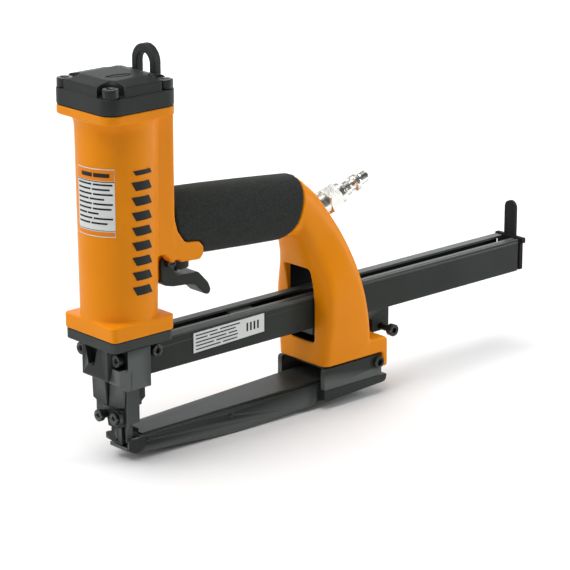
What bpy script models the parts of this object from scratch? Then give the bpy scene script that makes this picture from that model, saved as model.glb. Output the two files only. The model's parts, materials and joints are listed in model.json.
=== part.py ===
"""Pneumatic stapling plier: barrel with handle, arch, long staple magazine and a hinged clincher arm.

Dimensions are in millimetres from the tool's datum, which is the barrel axis at the underside of its
lower flange: X runs from the nose to the rear, Y across and Z up. place() turns them into the part's
frame in metres, with the origin at the middle of the base.
"""

import math

import bmesh
import bpy
from mathutils import Matrix, Vector

MM = 0.001
DATUM_SHIFT = Vector((-164.2, 0.0, 86.0))
GAP = 0.3

for leftover in list(bpy.data.objects):
    bpy.data.objects.remove(leftover)

PARTS = bpy.data.collections.new("stapling_plier")
CUTTERS = bpy.data.collections.new("cutters")
for group in (PARTS, CUTTERS):
    bpy.context.scene.collection.children.link(group)

# colour, metallic, roughness
FINISHES = {
    "enamel": ((0.74, 0.26, 0.012), 0.0, 0.42),
    "black": ((0.045, 0.05, 0.048), 0.3, 0.48),
    "foam": ((0.03, 0.033, 0.031), 0.0, 0.95),
    "steel": ((0.55, 0.55, 0.54), 1.0, 0.32),
    "nickel": ((0.72, 0.71, 0.68), 1.0, 0.22),
    "brass": ((0.78, 0.68, 0.48), 1.0, 0.3),
    "rubber": ((0.02, 0.02, 0.02), 0.0, 0.8),
    "label": ((0.82, 0.83, 0.82), 0.0, 0.5),
}


def place(x, y, z):
    """A point in the part's frame, in metres."""
    return (Vector((x, y, z)) + DATUM_SHIFT) * MM


def material(name, finish):
    colour, metallic, roughness = FINISHES[finish]
    made = bpy.data.materials.new(name)
    made.use_nodes = True
    shader = made.node_tree.nodes["Principled BSDF"]
    shader.inputs["Base Color"].default_value = (*colour, 1.0)
    shader.inputs["Metallic"].default_value = metallic
    shader.inputs["Roughness"].default_value = roughness
    return made


def solid(bm, name, finish=None, smooth=False, origin=None):
    """The object made from bm. With no finish it is a cutter, and origin is a moving piece's joint."""
    bmesh.ops.remove_doubles(bm, verts=bm.verts, dist=1e-6)
    bmesh.ops.recalc_face_normals(bm, faces=bm.faces)
    pivot = place(*origin) if origin else Vector()
    bmesh.ops.translate(bm, verts=bm.verts, vec=-pivot)
    mesh = bpy.data.meshes.new(name)
    bm.to_mesh(mesh)
    bm.free()
    obj = bpy.data.objects.new(name, mesh)
    obj.location = pivot
    if finish is None:
        CUTTERS.objects.link(obj)
        obj.hide_render = True
        obj.display_type = "WIRE"
        return obj
    PARTS.objects.link(obj)
    obj.data.materials.append(material(name, finish))
    if smooth:
        for face in mesh.polygons:
            face.use_smooth = True
    return obj


def combine(target, other, operation):
    step = target.modifiers.new(other.name, "BOOLEAN")
    step.operation = operation
    step.solver = "EXACT"
    step.object = other
    return target


def cut(target, *cutters):
    for cutter in cutters:
        combine(target, cutter, "DIFFERENCE")
    return target


def join(target, *others):
    for other in others:
        combine(target, other, "UNION")
    return target


def rounded(corners, radius, steps=4):
    """The outline with each corner rounded; radius is one number or one for each corner."""
    radii = radius if isinstance(radius, (list, tuple)) else [radius] * len(corners)
    outline = []
    for i, corner in enumerate(corners):
        here = Vector(corner)
        back = (Vector(corners[i - 1]) - here).normalized()
        ahead = (Vector(corners[(i + 1) % len(corners)]) - here).normalized()
        turn = math.pi - back.angle(ahead)
        if radii[i] <= 0 or turn < 0.02:
            outline.append(tuple(here))
            continue
        reach = radii[i] * math.tan(turn / 2)
        centre = here + (back + ahead).normalized() * (radii[i] / math.cos(turn / 2))
        start = here + back * reach - centre
        side = 1.0 if start.y * back.x - start.x * back.y > 0 else -1.0
        for k in range(steps + 1):
            angle = side * turn * k / steps
            outline.append((
                centre.x + start.x * math.cos(angle) - start.y * math.sin(angle),
                centre.y + start.x * math.sin(angle) + start.y * math.cos(angle),
            ))
    return outline


def rectangle(half_a, half_b, radius=0.0, steps=4, centre=(0.0, 0.0)):
    a, b = centre
    corners = [(a - half_a, b - half_b), (a + half_a, b - half_b), (a + half_a, b + half_b), (a - half_a, b + half_b)]
    return rounded(corners, radius, steps) if radius else corners


def prism(name, outline, axis, low, high, finish=None, origin=None, bevel=0.0):
    """The outline extruded along axis. It is (y, z) for X, (x, z) for Y and (x, y) for Z."""
    at = {
        "X": lambda a, b, c: place(c, a, b),
        "Y": lambda a, b, c: place(a, c, b),
        "Z": lambda a, b, c: place(a, b, c),
    }[axis]
    bm = bmesh.new()
    face = bm.faces.new([bm.verts.new(at(a, b, low)) for a, b in outline])
    grown = bmesh.ops.extrude_face_region(bm, geom=[face])
    moved = [item for item in grown["geom"] if isinstance(item, bmesh.types.BMVert)]
    along = Vector(((axis == "X"), (axis == "Y"), (axis == "Z"))) * (high - low) * MM
    bmesh.ops.translate(bm, verts=moved, vec=along)
    if bevel:
        ends = [edge for edge in bm.edges if len({round(v.co.dot(along), 12) for v in edge.verts}) == 1]
        bmesh.ops.recalc_face_normals(bm, faces=bm.faces)
        bmesh.ops.bevel(bm, geom=ends, offset=bevel * MM, segments=2, profile=0.5, affect="EDGES")
    return solid(bm, name, finish, origin=origin)


def block(name, x, y, z, finish=None, origin=None, bevel=0.0):
    """A box from low to high on each axis, with its edges rounded by bevel."""
    bm = bmesh.new()
    bmesh.ops.create_cube(bm, size=1.0)
    size = Vector((x[1] - x[0], y[1] - y[0], z[1] - z[0]))
    bmesh.ops.scale(bm, vec=size * MM, verts=bm.verts)
    bmesh.ops.translate(bm, vec=place(*(sum(pair) / 2 for pair in (x, y, z))), verts=bm.verts)
    if bevel:
        bmesh.ops.bevel(bm, geom=bm.edges[:], offset=bevel * MM, segments=2, profile=0.5, affect="EDGES")
    return solid(bm, name, finish, origin=origin)


def lathe(name, profile, base, along, sides, finish=None, origin=None, ring=False):
    """A profile of (radius, height) turned about the line through base along the direction given.
    The profile ends on the axis, or with ring it closes on itself."""
    bm = bmesh.new()
    verts = [bm.verts.new((radius * MM, 0.0, height * MM)) for radius, height in profile]
    edges = [bm.edges.new(pair) for pair in zip(verts, verts[1:])]
    if ring:
        edges.append(bm.edges.new((verts[-1], verts[0])))
    bmesh.ops.spin(bm, geom=verts + edges, cent=(0, 0, 0), axis=(0, 0, 1), angle=2 * math.pi,
                   steps=sides, use_merge=True)
    bmesh.ops.remove_doubles(bm, verts=bm.verts, dist=1e-7)
    turn = Vector((0, 0, 1)).rotation_difference(Vector(along)).to_matrix().to_4x4()
    bmesh.ops.transform(bm, matrix=Matrix.Translation(place(*base)) @ turn, verts=bm.verts)
    return solid(bm, name, finish, smooth=True, origin=origin)


def rod(name, base, along, length, radius, sides=24, finish=None, origin=None, low=0.0):
    profile = [(0, low), (radius, low), (radius, low + length), (0, low + length)]
    return lathe(name, profile, base, along, sides, finish, origin)


def loft(name, rings, finish=None, smooth=True, origin=None):
    """A closed skin through rings of equal count, for a body whose section changes along its length."""
    bm = bmesh.new()
    loops = [[bm.verts.new(place(*point)) for point in ring] for ring in rings]
    for before, after in zip(loops, loops[1:]):
        for i, vert in enumerate(before):
            j = (i + 1) % len(before)
            bm.faces.new((vert, before[j], after[j], after[i]))
    bm.faces.new(loops[0])
    bm.faces.new(loops[-1])
    return solid(bm, name, finish, smooth=smooth, origin=origin)


def oval(front, rear, half_width, power, count=32, at_y=0.0):
    """A superellipse ring across the line from front to rear, both (x, z)."""
    middle = (Vector(front) + Vector(rear)) / 2
    depth = (Vector(rear) - Vector(front)) / 2
    ring = []
    for k in range(count):
        c, s = math.cos(2 * math.pi * k / count), math.sin(2 * math.pi * k / count)
        u = math.copysign(abs(c) ** (2 / power), c)
        v = math.copysign(abs(s) ** (2 / power), s)
        ring.append((middle.x + depth.x * u, at_y + half_width * v, middle.y + depth.y * u))
    return ring


def screw(name, seat, along, head, length, shank, socket, hosts=(), finish="black"):
    """A socket-head screw on its seat, facing along; head is (radius, height). Each host gets a hole."""
    radius, height = head
    profile = [(0, -length), (shank - 0.5, -length), (shank, 0.5 - length), (shank, 0), (radius, 0),
               (radius, height - 0.7), (radius - 0.7, height), (0, height)]
    made = lathe(name, profile, seat, along, 18, finish)
    cut(made, rod(name + "_socket", seat, along, height, socket / 2, 6, low=0.45 * height))
    for host in hosts:
        cut(host, rod(f"{name}_hole_in_{host.name}", seat, along, length + 2.0 * GAP, shank + GAP, 18,
                      low=-length - GAP))
    return made


def along_slope(degrees):
    return (math.cos(math.radians(degrees)), 0.0, math.sin(math.radians(degrees)))


# --- barrel casting with the handle core ----------------------------------------------------------
FLANGE_LOW, FLANGE_HIGH = 9.4, 137.2
CAP_SEAT = 142.7
HEAD = (27.6, 28.8, 9.5)  # half length, half width and corner radius
HANDLE_SLOPE = -0.077


def handle_z(x):
    """Height of the handle's centre line."""
    return 58.3 + HANDLE_SLOPE * (x - 70.0)


def handle_ring(x, half_height, half_width, power=2.5, count=32):
    lean = -HANDLE_SLOPE * half_height
    z = handle_z(x)
    return oval((x - lean, z - half_height), (x + lean, z + half_height), half_width, power, count)


body = lathe("body_casting", [(0, 4), (24.2, 4), (24.3, 12), (25.3, 122), (25.5, 131), (26.4, 135.2),
                              (27.6, 138), (27.6, 140), (0, 140)], (0, 0, 0), (0, 0, 1), 44, "enamel")
LUG = [(12, 62), (12, 50.8), (17.6, 50.8), (28.2, 41.8), (30.5, 38.8), (52.4, 37.1), (55.6, 40.2), (55.6, 45.4),
       (51.8, 49.2), (40.4, 50.2), (34.4, 58.4), (32.4, 62)]
CHEEK = [(14, 74), (14, 46), (52.0, 46), (52.2, 49.3), (40.4, 50.6), (34.4, 58.8), (32.2, 66.6), (31.0, 74)]
join(
    body,
    prism("flange_low", rectangle(24.3, 25.3, 4), "Z", 0, FLANGE_LOW, bevel=1.4),
    prism("flange_top", rectangle(*HEAD), "Z", FLANGE_HIGH, CAP_SEAT),
    prism("spine", rectangle(11.5, 17.2, 2.5, centre=(21.3, 0.0)), "Z", 49.0, 139.0),
    prism("spine_web", rectangle(10.5, 5.0, 1.5, centre=(21.5, 0.0)), "Z", 25.5, 60.0),
    loft("handle_core", [handle_ring(x, 14.2, 10.8) for x in (24, 80, 137)]),
    prism("trigger_lug", rounded(LUG, [0, 0, 2, 2, 3, 3, 3, 3, 2, 4, 0, 0]), "Y", -16.6, 16.6),
    prism("spine_cheek", rounded(CHEEK, [0, 0, 0, 2, 5, 8, 0, 0]), "Y", -16.9, 16.9),
)
TRIGGER_PIVOT = (33.8, 0.0, 37.1)
cut(
    body,
    rod("bore", (0, 0, 11.0), (0, 0, 1), 140, 20.6, 24),
    block("driver_way_body", (-2.3, 0.3), (-6.6, 6.6), (-5, 20)),
    rod("valve_bore", (47.2, 0, 30), (0, 0, 1), 30, 6.8, 20),
    block("cheek_slot_left", (23, 42.3), (-8.3, -5.2), (20, 43)),
    block("cheek_slot_right", (23, 42.3), (5.2, 8.3), (20, 43)),
    rod("pin_head_room_left", (33.8, -20, 37.1), (0, 1, 0), 12, 3.6, 16),
    rod("pin_head_room_right", (33.8, 20, 37.1), (0, -1, 0), 12, 3.6, 16),
    block("lever_room", (30, 60), (-8.3, 8.3), (20, 31)),
    rod("air_way", (150, 0, handle_z(150)), (-1, 0, -HANDLE_SLOPE), 105, 6.5, 16),
)
PIVOT_BOSS = [(29.4, 44), (29.4, 34), (31.5, 32.6), (36, 32.6), (38.4, 34), (38.4, 44)]
join(body, prism("pivot_boss", rounded(PIVOT_BOSS, 1.5), "Y", -5.0, 5.0))
cut(body, rod("trigger_pin_hole", (33.8, -15, 37.1), (0, 1, 0), 30, 2.15))

# --- head: gasket, cap, hanging loop and screws ---------------------------------------------------
gasket = prism("cap_gasket", rectangle(HEAD[0] - 0.2, HEAD[1] - 0.2, HEAD[2]), "Z", CAP_SEAT + 0.05, CAP_SEAT + 0.75,
               "rubber")
cut(gasket, rod("gasket_bore", (0, 0, 140), (0, 0, 1), 8, 20.5, 24))
cap = prism("cylinder_cap", rectangle(*HEAD), "Z", CAP_SEAT + 0.8, 152.9, "black", bevel=0.6)
CORNERS = [(sx * 20.9, sy * 22.3) for sx, sy in ((-1, -1), (1, -1), (1, 1), (-1, 1))]


def dome_outline(half_x, half_y, clear, steps=5):
    """A square with a round bite at each corner, where the screw heads sit."""
    outline = []
    for i, (x, y) in enumerate(CORNERS):
        sx, sy = math.copysign(1, x), math.copysign(1, y)
        on_x = (sx * half_x, y - sy * math.sqrt(clear ** 2 - (half_x - abs(x)) ** 2))
        on_y = (x - sx * math.sqrt(clear ** 2 - (half_y - abs(y)) ** 2), sy * half_y)
        first, last = (on_y, on_x) if i % 2 else (on_x, on_y)
        a = math.atan2(first[1] - y, first[0] - x)
        b = math.atan2(last[1] - y, last[0] - x)
        sweep = (b - a + math.pi) % (2 * math.pi) - math.pi
        for k in range(steps + 1):
            angle = a + sweep * k / steps
            outline.append((x + clear * math.cos(angle), y + clear * math.sin(angle)))
    return outline


# half length, half width, screw clearance and height of each level of the dome
DOME = [(26.5, 27.6, 8.4, 150.0), (26.5, 27.6, 8.4, 158.2), (25.6, 26.7, 8.6, 159.3), (15.0, 16.1, 10.4, 161.4)]
join(cap, loft("dome", [[(x, y, level[3]) for x, y in dome_outline(*level[:3])] for level in DOME], smooth=False))
cut(cap, rod("cap_hollow", (0, 0, 130), (0, 0, 1), 26.5, 15.0, 24),
    block("loop_room", (21.9, 40), (-11.8, 11.8), (153.1, 200)))
for i, (x, y) in enumerate(CORNERS, 1):
    screw(f"cap_screw_{i}", (x, y, 152.9 + 0.1), (0, 0, 1), (5.2, 6.0), 14, 2.6, 5.0, (cap, gasket, body))
loop_outer = [(11.0 * math.cos(a), 165.9 + 11.0 * math.sin(a)) for a in [math.pi * k / 20 for k in range(21)]]
loop_inner = [(6.2 * math.cos(a), 165.4 + 6.2 * math.sin(a)) for a in [math.pi * k / 20 for k in range(20, -1, -1)]]
hook_outline = [(11.0, 153.4)] + loop_outer + [(-11.0, 153.4), (-6.2, 153.4)] + loop_inner + [(6.2, 153.4)]
hook = prism("hanging_loop", hook_outline, "X", 22.2, 27.4, "black", bevel=1.3)
join(hook, block("loop_foot", (22.2, 27.4), (-9.8, 9.8), (153.4, 157.0)))

# --- inside the barrel ----------------------------------------------------------------------------
lathe("cylinder_sleeve", [(20.0, 11.5), (20.0, 112), (18.4, 112), (18.4, 11.5)], (0, 0, 0), (0, 0, 1), 24,
      "steel", ring=True)
bumper = lathe("bumper", [(0, 11.5), (17.6, 11.5), (17.6, 27), (15, 30), (0, 30)], (0, 0, 0), (0, 0, 1), 24, "rubber")
cut(bumper, block("driver_way_bumper", (-2.6, 0.6), (-6.9, 6.9), (5, 40)))
piston = lathe("piston", [(0, 97.2), (18.0, 97.2), (18.0, 102), (16.2, 102), (16.2, 105), (18.0, 105),
                          (18.0, 110), (8, 110), (6, 106), (0, 106)], (0, 0, 0), (0, 0, 1), 24, "steel",
               origin=(0, 0, 100))
lathe("piston_ring", [(18.25, 102.3), (18.25, 104.7), (16.5, 104.7), (16.5, 102.3)], (0, 0, 0), (0, 0, 1), 24,
      "rubber", origin=(0, 0, 100), ring=True)
block("driver_blade", (-1.7, -0.5), (-5.6, 5.6), (-9.0, 96.9), "steel", origin=(0, 0, 100))
lathe("head_valve", [(6.3, 112.6), (17.8, 112.6), (17.8, 118), (13.5, 122), (13.5, 140), (10.5, 140),
                     (10.5, 118), (6.3, 118)], (0, 0, 0), (0, 0, 1), 24, "steel", origin=(0, 0, 112.6), ring=True)

# --- grip -----------------------------------------------------------------------------------------
# side view of the joint between the grip and the arch
SEAM = [(147.0, 92), (144.4, 77), (142.8, 70), (141.2, 62.5), (139.4, 53.5), (136.2, 45.5), (131.8, 39.0),
        (126.5, 34.4), (120.0, 31.5), (120.0, 20)]
GRIP = [(31.5, 20.4, 16.8), (34.5, 21.4, 17.3), (46, 21.8, 17.6), (70, 21.9, 17.6), (100, 21.6, 17.5),
        (128, 21.1, 17.2), (146, 20.7, 16.9)]
grip = loft("grip_sleeve", [handle_ring(*row) for row in GRIP], "foam")
cut(
    grip,
    prism("grip_rear_trim", SEAM + [(190, 20), (190, 92)], "Y", -40, 40),
    loft("grip_bore", [handle_ring(x, 14.2 + GAP, 10.8 + GAP) for x in (20, 80, 150)]),
    prism("grip_lug_room", rounded([(20, 90), (20, 30), (56.2, 30), (56.2, 45.7), (52.4, 49.9), (40.8, 51.2),
                                    (34.9, 59.3), (33.2, 67), (33.2, 90)], [0, 0, 0, 3, 4, 5, 8, 0, 0]), "Y", -30, 30),
)

# --- trigger and its valve ------------------------------------------------------------------------
LEVER = [(28.0, 24.5), (31.5, 21.9), (37.7, 20.3), (51.1, 19.1), (56.0, 17.6), (64.3, 9.8), (67.4, 9.6),
         (68.6, 12.6), (66.4, 17.6), (58.5, 26.0), (42.2, 26.6), (38.7, 30.8), (38.4, 38.6), (36.2, 41.2),
         (30.9, 41.2), (28.0, 38.5)]
trigger = prism("trigger", rounded(LEVER, [2, 2, 0, 0, 4, 2, 2, 3, 0, 2.5, 1.5, 2, 2, 2, 2.5, 2], 2), "Y", -7.8, 7.8,
                "black", origin=TRIGGER_PIVOT, bevel=0.7)
cut(trigger, block("boss_slot", (20, 42.5), (-5.4, 5.4), (25.5, 60)),
    rod("trigger_pin_way", (33.8, -15, 37.1), (0, 1, 0), 30, 2.05))
lathe("trigger_pin", [(0, -11.6), (2.9, -11.6), (3.2, -11.2), (3.2, -8.4), (2.0, -8.4), (2.0, 8.4), (2.9, 8.4),
                      (2.9, 9.6), (0, 9.6)], (33.8, 0, 37.1), (0, 1, 0), 20, "steel")
valve = lathe("trigger_valve_body", [(0, 29.8), (6.8, 29.8), (7.4, 30.4), (7.4, 36.4), (6.5, 36.7), (6.5, 58),
                                     (0, 58)], (47.2, 0, 0), (0, 0, 1), 20, "black")
cut(valve, rod("stem_bore", (47.2, 0, 20), (0, 0, 1), 36, 2.1, 16))
rod("valve_stem", (47.2, 0, 27.3), (0, 0, 1), 22, 1.8, 16, "steel", origin=(47.2, 0, 27.3))

# --- arch -----------------------------------------------------------------------------------------
# front (x, z), rear (x, z), half-width and squareness of each section, from the grip down to the base
ARCH = [
    ((139.8, 32.6), (143.0, 73.6), 17.0, 2.5),
    ((141.2, 29.0), (149.5, 68.2), 17.3, 2.6),
    ((142.6, 25.5), (157.6, 60.6), 17.6, 2.8),
    ((145.2, 18.0), (167.6, 47.0), 18.6, 3.2),
    ((148.8, 8.8), (176.0, 31.5), 21.6, 4.0),
    ((151.6, -1.0), (182.6, 14.0), 25.2, 5.0),
    ((153.0, -11.0), (187.8, -4.5), 27.2, 6.5),
    ((153.6, -22.0), (191.9, -21.0), 26.8, 8.0),
    ((153.6, -40.0), (195.6, -38.0), 25.2, 9.0),
    ((153.2, -56.8), (197.4, -56.8), 23.8, 9.0),
]
arch = loft("arch_casting", [handle_ring(121, 20.9, 17.0)] + [oval(*row) for row in ARCH], "enamel")
cut(arch, prism("arch_front_trim", [(x + 0.35, z) for x, z in SEAM] + [(90, 20), (90, 92)], "Y", -40, 40),
    loft("arch_core_room", [handle_ring(x, 14.2 + GAP, 10.8 + GAP) for x in (100, 120, 137.4)]))
HEEL = [(180, -46.2), (210.8, -46.2), (210.8, -67.4), (206.6, -67.4), (206.2, -56.8), (180, -56.8)]
LUG_BASE = [(192.6, -50), (208.2, -50), (208.2, -68.0), (203.5, -69.8), (196.5, -69.8), (192.6, -66.0)]
join(
    arch,
    prism("heel", rounded(HEEL, [0, 3.0, 1.0, 0.6, 1.2, 0]), "Y", -23.7, 23.7),
    prism("pivot_lug", rounded(LUG_BASE, [0, 0, 0, 2, 3, 0]), "Y", -10.0, 10.0),
)
tunnel = loft("tunnel", [
    [(110, y, z) for y, z in rectangle(12.4, 30.0, 2.0, centre=(0, -12.0))],
    [(150, y, z) for y, z in rectangle(12.4, 26.0, 2.0, centre=(0, -16.0))],
    [(230, y, z) for y, z in rectangle(12.4, 18.2, 2.0, centre=(0, -23.8))],
], smooth=False)
PLUG_SLOPE = 18.0
PLUG_AXIS = along_slope(PLUG_SLOPE)
PLUG_SEAT = (163.0, 0.0, 44.8)
cut(arch, tunnel,
    rod("air_way_arch", (110, 0, handle_z(110)), (1, 0, HANDLE_SLOPE), 42, 6.5, 16),
    rod("bushing_bore", PLUG_SEAT, PLUG_AXIS, 60, 6.6, 24, low=-20),
    rod("bushing_seat", PLUG_SEAT, PLUG_AXIS, 60, 10.3, 24, low=7.2))
bushing = lathe("air_bushing", [(0, -18), (6.2, -18), (6.2, 7.6), (7.8, 8.2), (7.8, 12.4), (0, 12.4)], PLUG_SEAT,
                PLUG_AXIS, 24, "steel")
join(bushing, rod("bushing_hex", PLUG_SEAT, PLUG_AXIS, 10.4, 9.8, 6, low=11.0))
cut(bushing, rod("bushing_way", PLUG_SEAT, PLUG_AXIS, 60, 3.0, 16, low=-30))
plug = lathe("air_plug", [(0, 21.7), (7.0, 21.7), (7.4, 22.2), (7.4, 25.6), (6.6, 26.4), (5.4, 28.8), (5.0, 33.6),
                          (3.9, 34.2), (3.9, 37.0), (5.85, 38.4), (5.85, 41.6), (4.1, 42.8), (4.1, 50.0),
                          (3.5, 50.8), (0, 50.8)], PLUG_SEAT, PLUG_AXIS, 24, "nickel")
cut(plug, rod("plug_way", PLUG_SEAT, PLUG_AXIS, 40, 2.3, 16, low=21))

# --- nose -----------------------------------------------------------------------------------------
mount = prism("nose_mount_plate", rectangle(24.0, 24.8, 4), "Z", -7.2, -GAP, "black", bevel=0.5)
NOSE_SIDE = [(-20.0, -7.5), (-20.0, -28.6), (-19.4, -29.1), (-14.4, -29.1), (-14.4, -33.4), (5.0, -33.4), (5.0, -7.5)]
POCKET = [(12.6, -5.0), (40.0, -5.0), (40.0, -18.8), (17.4, -18.8), (16.6, -22.5), (15.2, -26.2), (13.2, -29.4),
          (12.6, -29.4)]
nose = prism("nose_housing", NOSE_SIDE, "Y", -24.4, 24.4, "black")
cut(
    nose,
    prism("pocket_left", [(-y, z) for y, z in POCKET], "X", -30, -13.2),
    prism("pocket_right", POCKET, "X", -30, -13.2),
    block("cheek_room", (-30, -8.0), (-16.3, 16.3), (-40, -29.1)),
    block("staple_tunnel", (-2.3, 20), (-6.6, 6.6), (-29.5, -16.5)),
    block("driver_way_nose", (-2.3, 0.3), (-6.6, 6.6), (-40, 0)),
    prism("jam_window", [(0.6, -21.0), (6.4, -20.8), (9.4, -9.2), (-2.6, -9.2)], "X", -30, -12.0),
    block("far_wing_room", (-30, -7.6), (12.6, 30), (-40, -5.0)),
)
join(nose, rod("far_screw_boss", (-13.2, 17.6, -14.4), (1, 0, 0), 7.0, 4.5, 20))
cut(mount, block("driver_way_mount", (-2.3, 0.3), (-6.6, 6.6), (-20, 5)))
guide = block("driver_guide", (-7.6, 2.8), (-15.6, 15.6), (-59.8, -33.8), "black", bevel=0.6)
HEEL_STEP = [(0, -33.9), (8.0, -33.9), (8.0, -44.0), (5.4, -45.8), (4.9, -48.4), (0, -48.4)]
join(guide, prism("guide_heel", HEEL_STEP, "Y", -14.6, 14.6),
     block("guide_tongue", (-2.0, 2.8), (-7.8, 7.8), (-74.4, -50.0)))
cut(guide, block("driver_way_guide", (-2.3, 0.3), (-6.6, 6.6), (-90, -20)))
for side, sign in (("left", -1), ("right", 1)):
    prism(f"nose_cheek_{side}", [(sign * 3.2, -29.4), (sign * 16.0, -29.4), (sign * 15.0, -47.4), (sign * 9.2, -49.4),
                                 (sign * 0.9, -49.4)], "X", -10.4, -8.3, "black")
FOOT = [(-13.4, -49.8), (5.2, -49.8), (5.2, -55.5), (0.8, -58.0), (-0.2, -62.6), (3.2, -65.4), (3.4, -68.6),
        (10.8, -71.3), (10.8, -75.3), (3.0, -76.2), (-5.6, -76.2), (-4.6, -65.0), (-9.5, -62.4), (-13.4, -59.8)]
foot = prism("nose_foot", rounded(FOOT, [0.5, 0.5, 1, 1, 1, 1, 1, 1, 1, 1, 1, 1, 2, 2], 3), "X", -10.4, -2.4, "black")
cut(foot, block("foot_rear_room", (-7.9, 5), (-30, 30), (-60.1, -40)),
    block("foot_front_step", (-20, -4.0), (-30, 30), (-90, -62.5)),
    rod("foot_hole", (-10, -0.3, -74.0), (1, 0, 0), 12, 0.9, 12, low=-2))
FOOT_SCREWS = {"left": (-13.6, 2.0, 2.6), "right": (-10.5, -9.4, 1.6)}  # seat x, y and shank radius
join(foot, lathe("screw_ring", [(5.3, -0.6), (5.3, 1.7), (4.25, 1.7), (4.25, -0.6)], (-10.4, -9.4, -55.2), (-1, 0, 0),
                 20, ring=True))
for i, (side, (x, y, shank)) in enumerate(FOOT_SCREWS.items(), 1):
    screw(f"nose_screw_lower_{i}", (x, y, -55.2), (-1, 0, 0), (3.9, 3.6), 7, shank, 3.6, (foot, guide))
for i, sign in enumerate((-1, 1), 1):
    screw(f"nose_screw_upper_{i}", (-13.3, sign * 17.6, -14.4), (-1, 0, 0), (4.2, 4.4), 10, 2.4, 4.4, (nose,))

# --- magazine -------------------------------------------------------------------------------------
MAG_FRONT, MAG_REAR = 5.4, 350.6
MAG_LOW, MAG_HIGH = -31.6, -8.6
CHANNEL = [(-11.1, MAG_LOW), (11.1, MAG_LOW), (11.1, MAG_HIGH), (4.4, MAG_HIGH), (4.4, -10.2), (9.5, -10.2),
           (9.5, -30.0), (-9.5, -30.0), (-9.5, -10.2), (-4.4, -10.2), (-4.4, MAG_HIGH), (-11.1, MAG_HIGH)]
channel = prism("magazine_channel", CHANNEL, "X", MAG_FRONT, MAG_REAR, "black")
rail = block("staple_rail", (0.9, 352.2), (-4.5, 4.5), (-29.2, -19.3), "steel", origin=(352, 0, -20))
STRIP = [(-5.7, -27.4), (-5.7, -18.0), (5.7, -18.0), (5.7, -27.4), (4.9, -27.4), (4.9, -18.9), (-4.9, -18.9),
         (-4.9, -27.4)]
prism("staple_strip", STRIP, "X", 0.7, 92.0, "steel", origin=(352, 0, -20))
pusher = prism("pusher", [(-6.2, -27.4), (-6.2, -11.0), (6.2, -11.0), (6.2, -27.4), (4.9, -27.4), (4.9, -18.9),
                          (-4.9, -18.9), (-4.9, -27.4)], "X", 92.4, 112.0, "black", origin=(92, 0, -20))
cut(pusher, rod("pusher_way", (60, 0, -14.2), (1, 0, 0), 80, 1.6, 16))
rod("pusher_rod", (12, 0, -14.2), (1, 0, 0), 340.2, 1.4, 16, "steel", origin=(352, 0, -20))
END_CAP = rounded([(-13.4, -7.9), (-13.4, -11.7), (-11.1, -12.2), (-11.1, MAG_LOW), (11.1, MAG_LOW), (11.1, -12.2),
                   (13.4, -11.7), (13.4, -7.9)], [0.8, 0.8, 0, 1, 1, 0, 0.8, 0.8], 2)
end_cap = prism("magazine_end_cap", END_CAP, "X", 352.5, 356.0, "black", origin=(352, 0, -20), bevel=0.4)
lever_top = [(5.0 * math.cos(a), 12.2 + 5.0 * math.sin(a)) for a in [math.pi * k / 10 for k in range(11)]]
join(end_cap, prism("thumb_lever", [(5.0, -9.0)] + lever_top + [(-5.0, -9.0)], "X", 352.9, 355.6))
MAG_SCREW = [(0, -14.6), (3.6, -14.6), (4.2, -14.0), (4.2, -11.5), (1.8, -11.5), (1.8, -9.2), (0, -9.2)]
for i, sign in enumerate((-1, 1), 1):
    made = lathe(f"magazine_screw_{i}", MAG_SCREW, (18.9, 0, -16.2), (0, -sign, 0), 18, "black")
    cut(made, rod(f"magazine_screw_{i}_socket", (18.9, sign * 14.6, -16.2), (0, -sign, 0), 1.8, 2.0, 6, low=-0.2))
    cut(channel, rod(f"magazine_screw_{i}_hole", (18.9, sign * 8, -16.2), (0, sign, 0), 6, 2.1, 18))
HANGER = [(158, MAG_LOW - GAP), (228.5, MAG_LOW - GAP), (228.5, -49.0), (213.0, -49.0), (213.0, -38.6), (158, -38.6)]
hanger = prism("magazine_hanger", rounded(HANGER, [0, 0, 2, 1, 2, 0]), "Y", -6.2, 6.2, "black")
cut(hanger, rod("hanger_hole", (221.2, -20, -46.0), (0, 1, 0), 40, 2.5, 18))
latch = lathe("hanger_pin", [(0, -19.4), (3.6, -19.4), (4.2, -18.8), (4.2, -15.2), (2.2, -15.2), (2.2, 9.5),
                             (0, 9.5)], (221.2, 0, -46.0), (0, 1, 0), 18, "black")
cut(latch, rod("hanger_pin_socket", (221.2, -19.6, -46.0), (0, 1, 0), 2.4, 2.1, 6))

# --- clincher arm ---------------------------------------------------------------------------------
ARM_PIVOT = (202.0, 0.0, -62.8)
ARM_SIDE = [(-4.2, -71.8), (-2.8, -71.0), (3.5, -71.2), (152, -68.8), (188.5, -68.8), (188.5, -72.9), (209.5, -72.9),
            (209.5, -79.0), (157, -82.4), (84, -86.0), (1.2, -81.0), (-2.8, -79.3), (-4.2, -77.0)]
arm_outline = rounded(ARM_SIDE, [1, 1, 0, 0, 1, 0, 2, 3.5, 0, 0, 2, 2, 1], 3)


def flare(grow):
    """Plan of the arm, which widens from the tip to its foot; grow moves the sides out."""
    plan = [(-30, 12.7), (10, 12.9), (150, 17.4), (240, 18.8)]
    return [(x, -y - grow) for x, y in plan] + [(x, y + grow) for x, y in reversed(plan)]


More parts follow.
